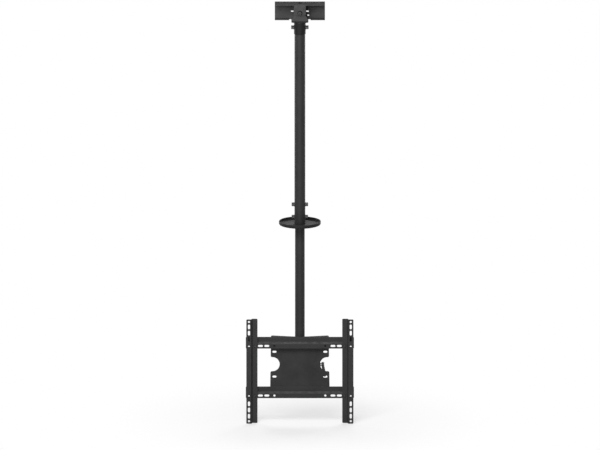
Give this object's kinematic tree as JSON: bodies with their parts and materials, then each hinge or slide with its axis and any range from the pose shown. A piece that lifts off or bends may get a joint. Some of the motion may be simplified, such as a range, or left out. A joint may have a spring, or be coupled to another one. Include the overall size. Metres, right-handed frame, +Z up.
{
  "type": "telescopic ceiling mount for a flat screen",
  "caption": "Black steel ceiling mount for a flat screen: sloped-ceiling bracket, telescopic pole with a cover dish, and a tilting head of punched rails that the screen bolts to.",
  "frame": {"origin": "middle of the bracket's top face, which lies on the ceiling, on the pole's axis", "axes": "+Z up along the pole, X along the bracket and the bars, the screen side faces -Y"},
  "size_m": [0.425, 0.1644, 1.683],
  "materials": {
    "coated_steel": "satin black powder coat",
    "black_fasteners": "black oxide",
    "black_plastic": "moulded, fine grain",
    "bare_steel": "turned"
  },
  "bodies": {
    "ceiling_bracket": {"ceiling_bracket": "coated_steel", "pivot_bolt": "black_fasteners", "pivot_nut": "black_fasteners", "pivot_washers": "black_fasteners"},
    "hinge_head": {"hinge_head": "coated_steel", "angle_lock_bolt": "black_fasteners", "angle_lock_nut": "black_fasteners", "pole_socket": "coated_steel", "flange_bolts": "black_fasteners", "flange_nuts": "black_fasteners", "sleeve_weld_nuts": "black_fasteners", "sleeve_clamp_screws": "black_fasteners"},
    "upper_pole": {"upper_tube": "coated_steel", "tube_weld_nuts": "black_fasteners", "tube_clamp_screws": "black_fasteners"},
    "cover_dish": {"cover_dish": "coated_steel"},
    "lower_pole": {"lower_tube": "coated_steel", "guide_plug": "black_plastic", "cross_tube": "coated_steel", "tilt_bushes": "black_plastic"},
    "screen_head": {"centre_plate": "coated_steel", "tilt_bracket": "coated_steel", "upper_bar": "coated_steel", "lower_bar": "coated_steel", "left_arm": "coated_steel", "right_arm": "coated_steel", "arm_screws": "black_fasteners", "arm_nuts": "black_fasteners", "tilt_bolt": "black_fasteners", "tilt_washers": "black_fasteners"},
    "clamp_lever": {"clamp_lever": "black_plastic", "lever_bush": "bare_steel"}
  },
  "joints": [
    {"name": "ceiling_angle", "type": "hinge", "parent": "ceiling_bracket", "child": "hinge_head", "pos_m": [0, 0, -0.033], "axis": [0, 1, 0], "range_deg": [-15, 15]},
    {"name": "pole_swivel", "type": "hinge", "parent": "hinge_head", "child": "upper_pole", "pos_m": [0, 0, -0.0975], "axis": [0, 0, 1], "range_deg": [-180, 180]},
    {"name": "height_slide", "type": "slide", "parent": "upper_pole", "child": "lower_pole", "axis": [0, 0, 1], "range_m": [-0.05, 0.25]},
    {"name": "cover_slide", "type": "slide", "parent": "upper_pole", "child": "cover_dish", "axis": [0, 0, 1], "range_m": [-0.14, 0]},
    {"name": "screen_tilt", "type": "hinge", "parent": "lower_pole", "child": "screen_head", "pos_m": [0, 0, -1.456], "axis": [1, 0, 0], "range_deg": [0, 20]},
    {"name": "lever_turn", "type": "hinge", "parent": "screen_head", "child": "clamp_lever", "pos_m": [0.08, 0, -1.456], "axis": [1, 0, 0], "range_deg": [0, 150]}
  ]
}
